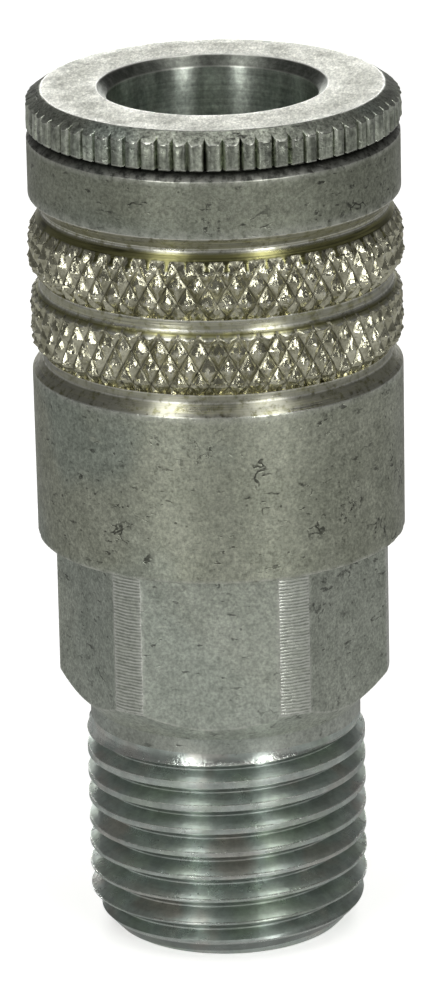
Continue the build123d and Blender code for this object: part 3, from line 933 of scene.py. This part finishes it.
chamfer_top = hex_bottom + hex_radius - neck_radius
adapter_rows = [
    (neck_radius, thread_end, NECK, 0.0),
    (neck_radius, hex_bottom - 0.12, NECK, 0.0),
    (neck_radius + 0.03, hex_bottom - 0.02, FLAT, 0.0),
    (neck_radius + 0.12, hex_bottom + 0.12, FLAT, 0.0),
    (hex_radius - 0.06, chamfer_top - 0.06, FLAT, 0.3),
    (hex_radius - 0.015, chamfer_top - 0.01, FLAT, 0.9),
    (hex_radius, chamfer_top + 0.05, FLAT, 0.7),
    (hex_radius, chamfer_top + 0.14, FLAT, 0.1),
    (hex_radius, (chamfer_top + hex_middle) / 2, FLAT, 0.0),
    (hex_radius, hex_middle, FLAT, 0.0),
    (hex_radius, 27.5, FLAT, 0.0),
    (hex_radius, 30.5, FLAT, 0.0),
    (hex_radius, adapter_top - 0.1, FLAT, 0.6),
    (hex_radius - 0.1, adapter_top, FLAT, 0.6),
    (socket_radius + 0.1, adapter_top, BORE_IN, 0.5),
    (socket_radius, adapter_top - 0.1, BORE_IN, 0.3),
    (socket_radius, 25.5, BORE_IN, 0.0),
    (chamber_radius, 25.5, BORE_IN, 0.2),
    (chamber_radius, 20.0, BORE_IN, 0.0),
    (passage_radius, 20.0, BORE_IN, 0.3),
    (passage_radius, 12.0, BORE_IN, 0.0),
    (passage_radius, 0.55, BORE_IN, 0.3),
    (passage_radius + 0.08, 0.35, BORE_IN, 0.7),
    (6.62, 0.04, BORE_IN, 0.7),
    (6.75, 0.0, THREAD, 0.3),
    (7.5, 0.0, THREAD, 0.0),
    (blank(0.0), 0.0, THREAD, 0.3),
]
first_hex_row, last_hex_row = 5, 12
radius_grid, height_grid, zone_of_row, wear_grid = row_grids(adapter_rows, columns)
edge_wear = 0.8 * np.exp(-(((from_flat - band_edge) / 0.008) ** 2))
hex_wear = wear_grid[first_hex_row : last_hex_row + 1]
hex_wear[:] = np.maximum(hex_wear, edge_wear)
vertices, quads, quad_rows, quad_columns = lattice(radius_grid, height_grid, angles, closed_rows=False)
quad_on_corner = on_corner[quad_columns] & on_corner[(quad_columns + 1) % columns]
hex_faces = (quad_rows >= first_hex_row) & (quad_rows < last_hex_row)
quad_zones = np.where(hex_faces & quad_on_corner, CORNER, zone_of_row[quad_rows])
adapter_faces += (quads + len(adapter_vertices)).tolist()
adapter_zones += quad_zones.tolist()
adapter_vertices = np.concatenate([adapter_vertices, vertices])
adapter_wear = np.concatenate([adapter_wear, wear_grid.reshape(-1)])
adapter = make_piece(
    "threaded_adapter", *weld(adapter_vertices, adapter_faces, adapter_zones, adapter_wear),
    [hex_metal, corner_metal, thread_metal, bore_metal, neck_metal], 38,
)
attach(adapter, "base")
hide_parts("adapter")

# ---------------------------------------------------------------- springs


def coil(name, node, radius, wire, turns):
    """A coil spring with closed, ground ends; its lengths are in millimetres."""
    bottom, top = heights(node)
    sides, steps_per_turn = 14, 56
    steps = int(turns * steps_per_turn)
    turn = np.linspace(0, turns, steps + 1)
    climb = np.interp(turn, [0, 0.8, turns - 0.8, turns], [0.0, 0.6, turns - 0.6, turns]) / turns
    rise = bottom + 0.25 * wire + (top - bottom - 0.5 * wire) * climb
    angle = (turn * FULL_TURN)[:, None]
    around = np.arange(sides) * FULL_TURN / sides
    wire_radius = radius + wire / 2 * np.cos(around)
    height = np.clip(rise[:, None] + wire / 2 * np.sin(around), bottom, top)
    points = np.stack([wire_radius * np.cos(angle), wire_radius * np.sin(angle), height], axis=-1)
    points = points.reshape(-1, 3)
    faces = []
    for start in range(0, steps * sides, sides):
        for side in range(sides):
            after = (side + 1) % sides
            faces.append([start + side, start + sides + side, start + sides + after, start + after])
    faces.append(list(range(sides)))
    faces.append([steps * sides + side for side in reversed(range(sides))])
    piece = make_piece(name, points, faces, [0] * len(faces), np.zeros(len(points)), [spring_metal], 50)
    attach(piece, "base")
    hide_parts(node)
    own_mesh(piece)


coil("sleeve_coil", "sleeve_spring", 11.3, 1.1, 6.5)
coil("valve_coil", "valve_spring", 4.3, 0.9, 6.5)

# ---------------------------------------------------------------- CAD nodes that stay

kept_nodes = {
    "barrel": barrel_metal,
    "valve": brass,
    "valve_guide": brass,
    "valve_seat": brass,
    "seal_washer": brass,
    "valve_seal": nitrile,
    "plug_seal": nitrile,
    "body_seal": nitrile,
}
kept_nodes.update({node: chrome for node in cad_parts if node.startswith("ball_")})
for node, material in kept_nodes.items():
    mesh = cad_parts[node].data
    mesh.materials.clear()
    mesh.materials.append(material)

# ---------------------------------------------------------------- floor, backdrop and light


def stage_mesh(name, vertices, faces, colour, roughness, glow):
    """A plain, faintly glowing surface of the studio, which doesn't show in reflections."""
    mesh = bpy.data.meshes.new(name)
    mesh.from_pydata(vertices, [], faces)
    mesh.polygons.foreach_set("use_smooth", np.ones(len(faces), dtype=bool))
    material, n = new_material(name + "_surface")
    shader = n.add("ShaderNodeBsdfPrincipled", {"Base Color": (*colour, 1), "Roughness": roughness})
    shader.inputs["Emission Color"].default_value = (*colour, 1)
    shader.inputs["Emission Strength"].default_value = glow
    n.add("ShaderNodeOutputMaterial", {"Surface": shader.outputs[0]})
    mesh.materials.append(material)
    piece = bpy.data.objects.new(name, mesh)
    bpy.context.scene.collection.objects.link(piece)
    piece.visible_glossy = False
    return piece


edge = 6.0
floor_corners = [(-edge, -edge, 0), (edge, -edge, 0), (edge, edge, 0), (-edge, edge, 0)]
stage_mesh("floor", floor_corners, [(0, 1, 2, 3)], (0.93, 0.93, 0.92), 0.9, 0.62)
wall_sides = 48
wall_radius = 9.0
wall_angles = [FULL_TURN * side / wall_sides for side in range(wall_sides)]
wall_vertices = [
    (wall_radius * math.cos(a), wall_radius * math.sin(a), z) for z in (-6.0, 9.0) for a in wall_angles
]
wall_faces = []
for side in range(wall_sides):
    after = (side + 1) % wall_sides
    wall_faces.append((side, after, wall_sides + after, wall_sides + side))
backdrop = stage_mesh("backdrop", wall_vertices, wall_faces, (1, 1, 0.99), 1.0, 0.98)
backdrop.visible_diffuse = False
backdrop.visible_shadow = False
object_middle = Vector((0, 0, 0.04))


def light_panel(name, start, end, width, strength):
    """A flat soft light between two points, each given as (right, toward the camera, up) in metres."""
    first, last = (to_right * x + to_camera * y + Vector((0, 0, z)) for x, y, z in (start, end))
    centre = (first + last) / 2
    long_axis = (last - first).normalized()
    from_object = (centre - object_middle).normalized()
    short_axis = long_axis.cross(from_object).normalized()
    facing = short_axis.cross(long_axis)
    data = bpy.data.lights.new(name, "AREA")
    data.shape = "RECTANGLE"
    data.size = width
    data.size_y = (last - first).length
    data.energy = strength * data.size * data.size_y * math.pi
    data.color = (1, 1, 0.98)
    lamp = bpy.data.objects.new(name, data)
    bpy.context.scene.collection.objects.link(lamp)
    turn = Matrix((short_axis, long_axis, facing)).transposed()
    lamp.matrix_world = Matrix.Translation(centre) @ turn.to_4x4()
    lamp.visible_camera = False


light_panel("left_panel_low", (-0.31, 0.56, 0.1), (-0.31, 0.52, 0.3), 0.14, 6.5)
light_panel("right_panel_low", (0.33, 0.56, 0.1), (0.33, 0.52, 0.3), 0.14, 7.3)
light_panel("left_strip_front", (-0.31, 0.48, 0.48), (-0.29, 0.2, 0.8), 0.17, 3.2)
light_panel("right_strip_front", (0.31, 0.48, 0.48), (0.29, 0.2, 0.8), 0.17, 3.2)
light_panel("left_strip_back", (-0.29, 0.2, 0.8), (-0.25, -0.4, 1.35), 0.17, 2.6)
light_panel("right_strip_back", (0.29, 0.2, 0.8), (0.25, -0.4, 1.35), 0.17, 2.6)

world = bpy.data.worlds.new("studio")
bpy.context.scene.world = world
world.use_nodes = True
w = Nodes(world.node_tree)
direction = w.add("ShaderNodeTexCoord").outputs["Generated"]


def along(vector):
    """How far the direction of a ray goes along a vector."""
    inputs = {0: direction, 1: tuple(vector)}
    return w.add("ShaderNodeVectorMath", inputs, operation="DOT_PRODUCT").outputs["Value"]


up = along((0, 0, 1))
forward = along(to_camera)
below_horizon = w.span(up, 0.02, -0.12)
low_light = w.span(forward, -0.9, 0.9, 0.34, 0.42)
aside = w.add("ShaderNodeMath", {0: along(to_right)}, operation="ABSOLUTE").outputs[0]
# a bright card behind the object, which its end face mirrors
card = w.product(
    w.span(aside, 0.22, 0.06), w.span(forward, 0.0, -0.3), w.span(up, 0.1, 0.2), w.span(up, 0.38, 0.3)
)
overhead = w.span(up, 0.7, 0.95)
high_light = w.sum(0.13, w.product(card, 15.0), w.product(overhead, 0.24))
level = w.add("ShaderNodeMix", {0: below_horizon, 2: high_light, 3: low_light}, data_type="FLOAT")
background = w.add("ShaderNodeBackground", {"Color": (1.0, 1.0, 0.985, 1.0), "Strength": level.outputs[0]})
w.add("ShaderNodeOutputWorld", {"Surface": background.outputs[0]})
